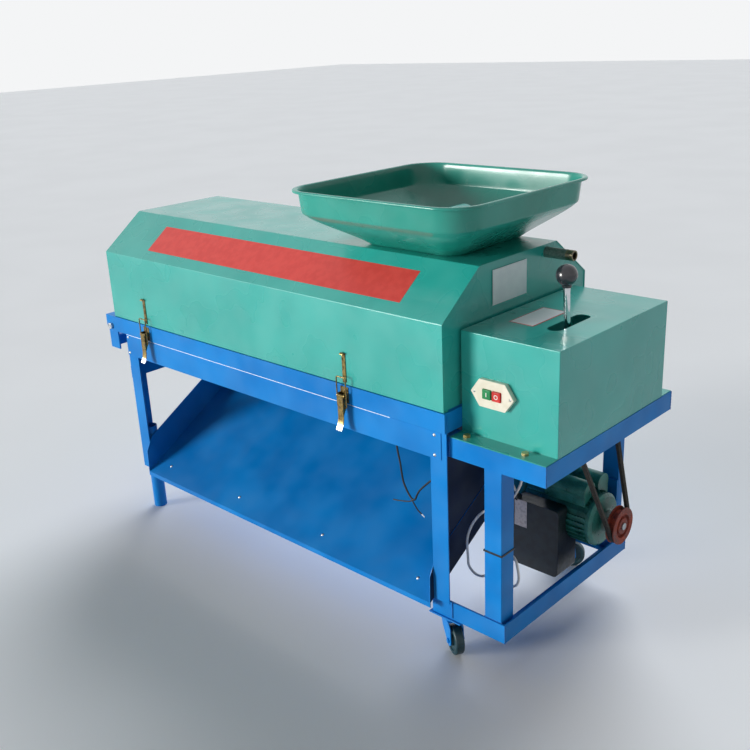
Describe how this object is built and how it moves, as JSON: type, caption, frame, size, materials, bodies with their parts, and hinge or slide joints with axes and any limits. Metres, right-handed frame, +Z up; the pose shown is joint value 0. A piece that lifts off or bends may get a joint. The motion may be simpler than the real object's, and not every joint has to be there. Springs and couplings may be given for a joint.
{
  "type": "walnut huller",
  "caption": "Walnut huller: brush roller in a hinged eight-sided hood with a feed basin, over an angle-iron frame with a sloping tray, a belt drive and casters.",
  "frame": {"origin": "on the floor, below the middle of the machine", "axes": "+X along the roller towards the drive end, +Y to the hinged rear side, +Z up"},
  "size_m": [1.762, 0.647, 1.1424],
  "materials": {
    "hood_paint": "gloss",
    "frame_paint": "gloss",
    "zinc": "bright zinc plated",
    "yellow_zinc": "yellow zinc plated",
    "steel": "machined",
    "chrome": "polished",
    "cast_iron": "painted casting",
    "pulley_red": "primer red",
    "motor_paint": "gloss",
    "box_black": "satin",
    "knob_black": "gloss",
    "belt_rubber": "matte",
    "bristle": "bristle",
    "fan_plastic": "moulded",
    "switch_cream": "moulded",
    "button_green": "moulded",
    "button_red": "moulded",
    "wheel_teal": "moulded",
    "wire_white": "sheath",
    "wire_black": "sheath",
    "brass": "machined"
  },
  "bodies": {
    "frame": {"top_rails": "frame_paint", "legs": "frame_paint", "left_feet": "frame_paint", "drive_ring": "frame_paint", "drive_posts": "frame_paint", "base_rails": "frame_paint", "apron_plates": "frame_paint", "frame_screws": "zinc", "tray": "frame_paint", "splash_panel": "frame_paint", "sieve": "steel", "bearing_bar": "frame_paint", "bearing_housings": "cast_iron", "drive_cover": "hood_paint", "hex_bolts": "yellow_zinc", "switch_body": "switch_cream", "motor_frame": "motor_paint", "motor_end_shields": "motor_paint", "motor_fan_cover": "motor_paint", "capacitor_covers": "motor_paint", "terminal_box": "box_black", "motor_plate": "frame_paint", "drive_belt": "belt_rubber", "lever_bracket": "frame_paint", "rail_hinge_leaves": "zinc", "latch_bases": "yellow_zinc", "caster_plates": "zinc", "outlet_chute": "frame_paint", "motor_lead": "wire_white", "slack_lead": "wire_black", "wire_ties": "wire_black"},
    "hood": {"hood_shell": "hood_paint", "hood_end_plates": "hood_paint", "feed_basin": "hood_paint", "throat_guard": "hood_paint", "water_pipe": "hood_paint", "water_nipple": "brass", "latch_keepers": "zinc", "hood_hinge_leaves": "zinc"},
    "roller": {"roller_shaft": "steel", "brush_core": "steel", "brush_strips": "bristle", "roller_pulley": "cast_iron"},
    "rotor": {"motor_rotor": "steel", "cooling_fan": "fan_plastic", "motor_pulley": "pulley_red"},
    "clutch": {"clutch_lever": "chrome", "lever_knob": "knob_black"},
    "idler": {"idler_wheel": "cast_iron"},
    "left_latch": {"left_latch_lever": "yellow_zinc"},
    "left_loop": {"left_latch_loop": "zinc"},
    "right_latch": {"right_latch_lever": "yellow_zinc"},
    "right_loop": {"right_latch_loop": "zinc"},
    "start_push": {"start_button": "button_green"},
    "stop_push": {"stop_button": "button_red"},
    "front_fork": {"front_caster_fork": "frame_paint"},
    "front_wheel": {"front_caster_wheel": "wheel_teal"},
    "rear_fork": {"rear_caster_fork": "frame_paint"},
    "rear_wheel": {"rear_caster_wheel": "wheel_teal"}
  },
  "joints": [
    {"name": "hood_hinge", "type": "hinge", "parent": "frame", "child": "hood", "pos_m": [-0.0785, 0.309, 0.6702], "axis": [-1, 0, 0], "range_deg": [0, 85]},
    {"name": "roller_spin", "type": "hinge", "parent": "frame", "child": "roller", "pos_m": [0.815, 0, 0.647], "axis": [1, 0, 0], "continuous": true},
    {"name": "motor_spin", "type": "hinge", "parent": "frame", "child": "rotor", "pos_m": [0.815, 0.17, 0.247], "axis": [1, 0, 0], "continuous": true},
    {"name": "clutch_lever_tilt", "type": "hinge", "parent": "frame", "child": "clutch", "pos_m": [0.783, -0.046, 0.64], "axis": [1, 0, 0], "range_deg": [-19, 14]},
    {"name": "idler_spin", "type": "hinge", "parent": "clutch", "child": "idler", "pos_m": [0.815, -0.09355, 0.53419], "axis": [1, 0, 0], "continuous": true},
    {"name": "start_button_press", "type": "slide", "parent": "frame", "child": "start_push", "axis": [0, 1, 0], "range_m": [0, 0.003], "stiffness_N_per_m": 300},
    {"name": "stop_button_press", "type": "slide", "parent": "frame", "child": "stop_push", "axis": [0, 1, 0], "range_m": [0, 0.003], "stiffness_N_per_m": 300},
    {"name": "left_latch_lift", "type": "hinge", "parent": "frame", "child": "left_latch", "pos_m": [-0.586, -0.315, 0.645], "axis": [-1, 0, 0], "range_deg": [0, 150]},
    {"name": "left_loop_swing", "type": "hinge", "parent": "left_latch", "child": "left_loop", "pos_m": [-0.586, -0.315, 0.613], "axis": [1, 0, 0], "range_deg": [0, 150]},
    {"name": "right_latch_lift", "type": "hinge", "parent": "frame", "child": "right_latch", "pos_m": [0.289, -0.315, 0.645], "axis": [-1, 0, 0], "range_deg": [0, 150]},
    {"name": "right_loop_swing", "type": "hinge", "parent": "right_latch", "child": "right_loop", "pos_m": [0.289, -0.315, 0.613], "axis": [1, 0, 0], "range_deg": [0, 150]},
    {"name": "front_caster_swivel", "type": "hinge", "parent": "frame", "child": "front_fork", "pos_m": [0.591, -0.261, 0.09], "axis": [0, 0, 1], "continuous": true},
    {"name": "front_wheel_roll", "type": "hinge", "parent": "front_fork", "child": "front_wheel", "pos_m": [0.61005, -0.272, 0.039], "axis": [0.5, 0.866, 0], "continuous": true},
    {"name": "rear_caster_swivel", "type": "hinge", "parent": "frame", "child": "rear_fork", "pos_m": [0.591, 0.261, 0.09], "axis": [0, 0, 1], "continuous": true},
    {"name": "rear_wheel_roll", "type": "hinge", "parent": "rear_fork", "child": "rear_wheel", "pos_m": [0.61005, 0.272, 0.039], "axis": [-0.5, 0.866, 0], "continuous": true}
  ],
  "couplings": [
    {"joint": "motor_spin", "follows": "roller_spin", "ratio": 2},
    {"joint": "left_loop_swing", "follows": "left_latch_lift", "ratio": 1},
    {"joint": "right_loop_swing", "follows": "right_latch_lift", "ratio": 1}
  ]
}
